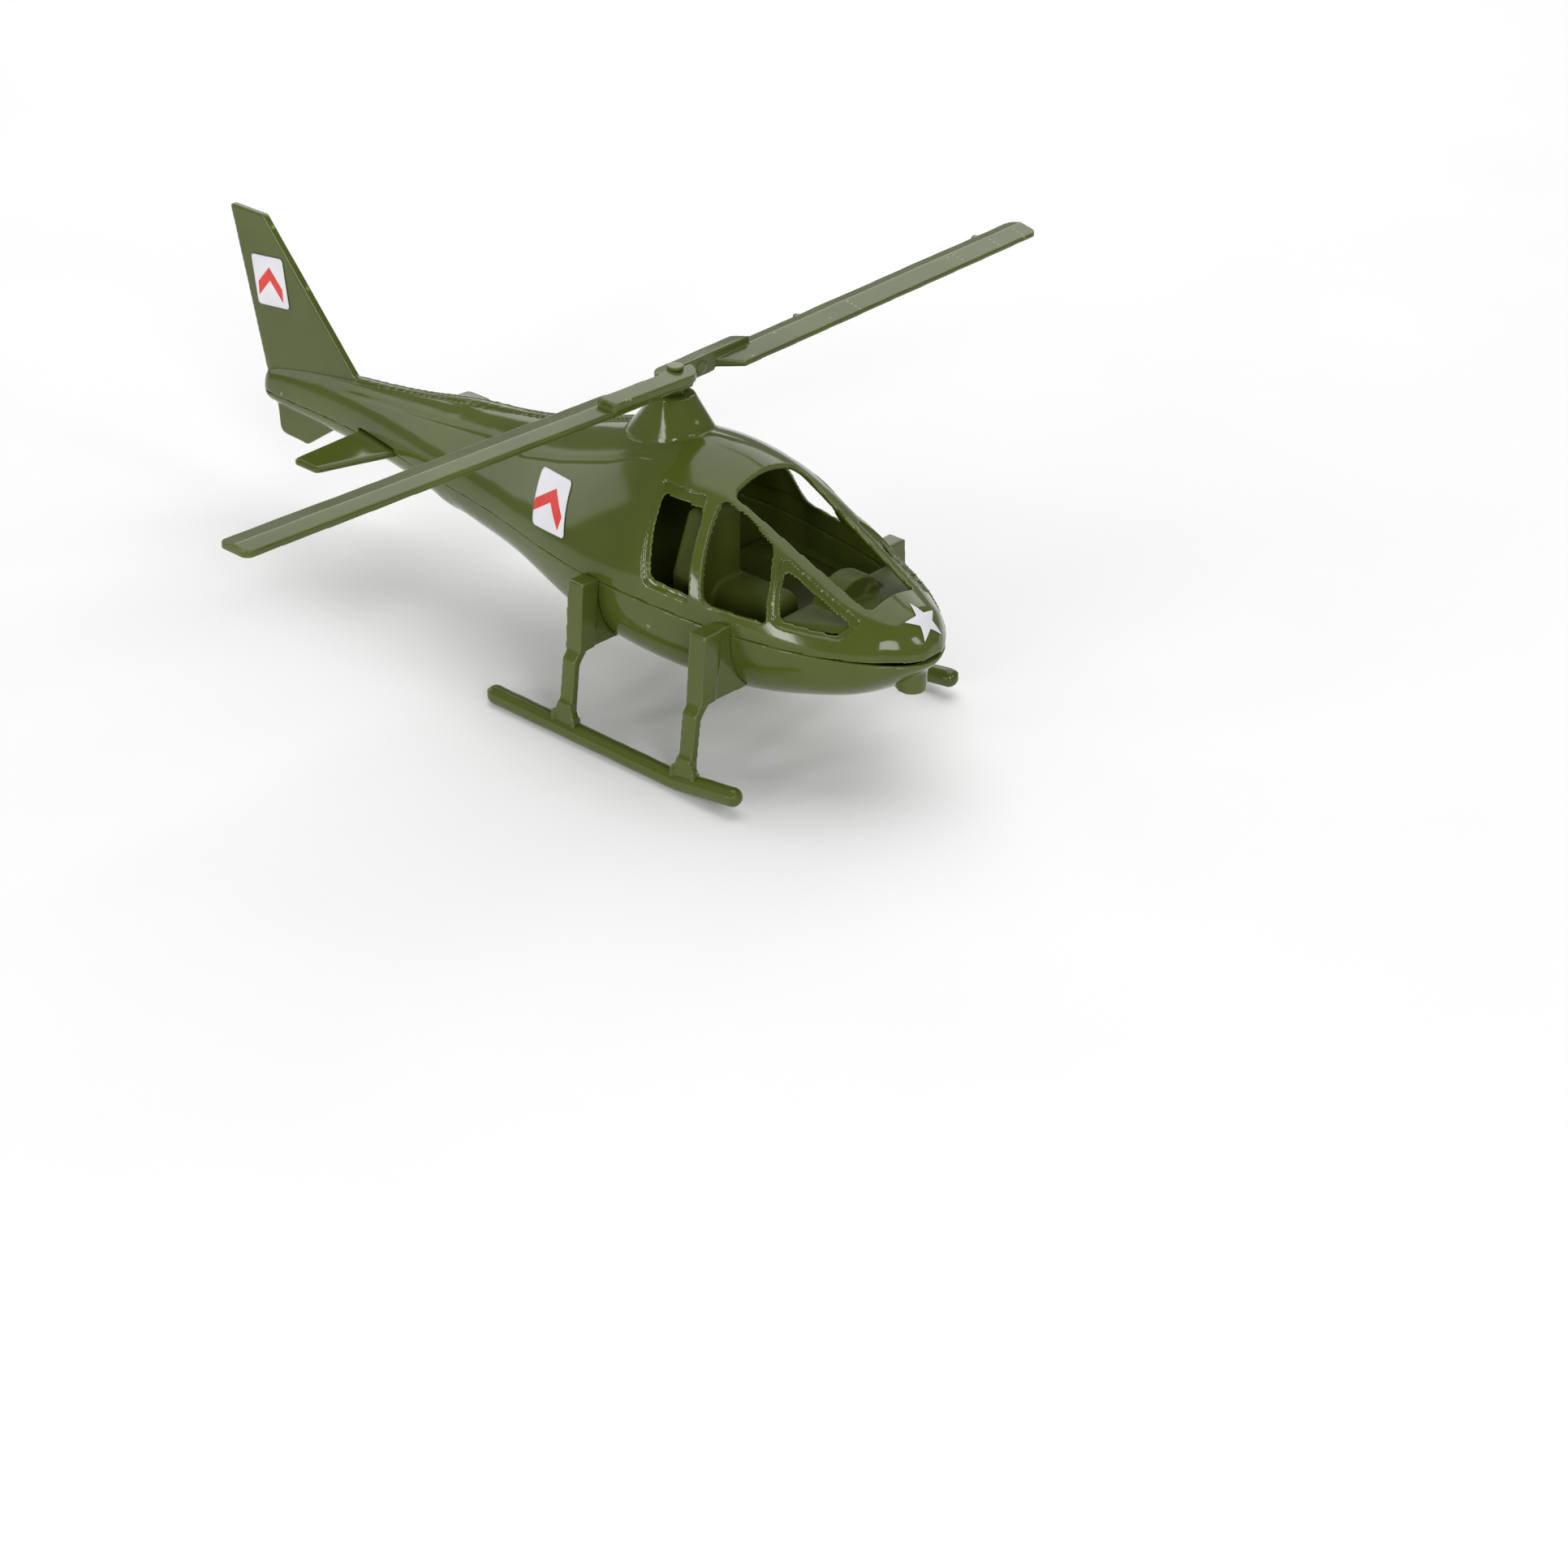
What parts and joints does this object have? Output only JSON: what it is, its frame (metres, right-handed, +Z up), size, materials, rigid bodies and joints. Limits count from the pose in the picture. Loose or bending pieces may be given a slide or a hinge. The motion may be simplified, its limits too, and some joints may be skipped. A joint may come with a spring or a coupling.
{
  "type": "toy helicopter",
  "caption": "Olive plastic toy helicopter on landing skids, with a hollow see-through cabin, tail fins and a main rotor that spins freely on its mast.",
  "frame": {"origin": "centre of the overall box at ground level, where the skids stand", "axes": "+X forward along the fuselage to the nose, +Y to port, +Z up along the rotor mast"},
  "size_m": [0.2364, 0.258, 0.0816],
  "materials": {
    "olive": "glossy moulded olive-green plastic",
    "sticker_white": "satin white vinyl sticker",
    "sticker_red": "satin white vinyl sticker printed with a plain red chevron"
  },
  "bodies": {
    "airframe": {"upper_shell": "olive", "lower_shell": "olive", "leg_front_right": "olive", "leg_front_left": "olive", "leg_rear_right": "olive", "leg_rear_left": "olive", "skid_right": "olive", "skid_left": "olive", "tailplane": "olive", "cabin_floor": "olive", "pilot_seat": "olive", "instrument_console": "olive", "nose_star_sticker": "sticker_white", "side_sticker_right": "sticker_red", "side_sticker_left": "sticker_red", "fin_sticker_right": "sticker_red", "fin_sticker_left": "sticker_red"},
    "rotor": {"rotor_blade_a": "olive", "rotor_blade_b": "olive", "rotor_pin": "olive", "pin_retainer": "olive"}
  },
  "joints": [
    {"name": "rotor_spin", "type": "hinge", "parent": "airframe", "child": "rotor", "pos_m": [0.0393, 0, 0.078], "axis": [0, 0, 1], "continuous": true}
  ]
}
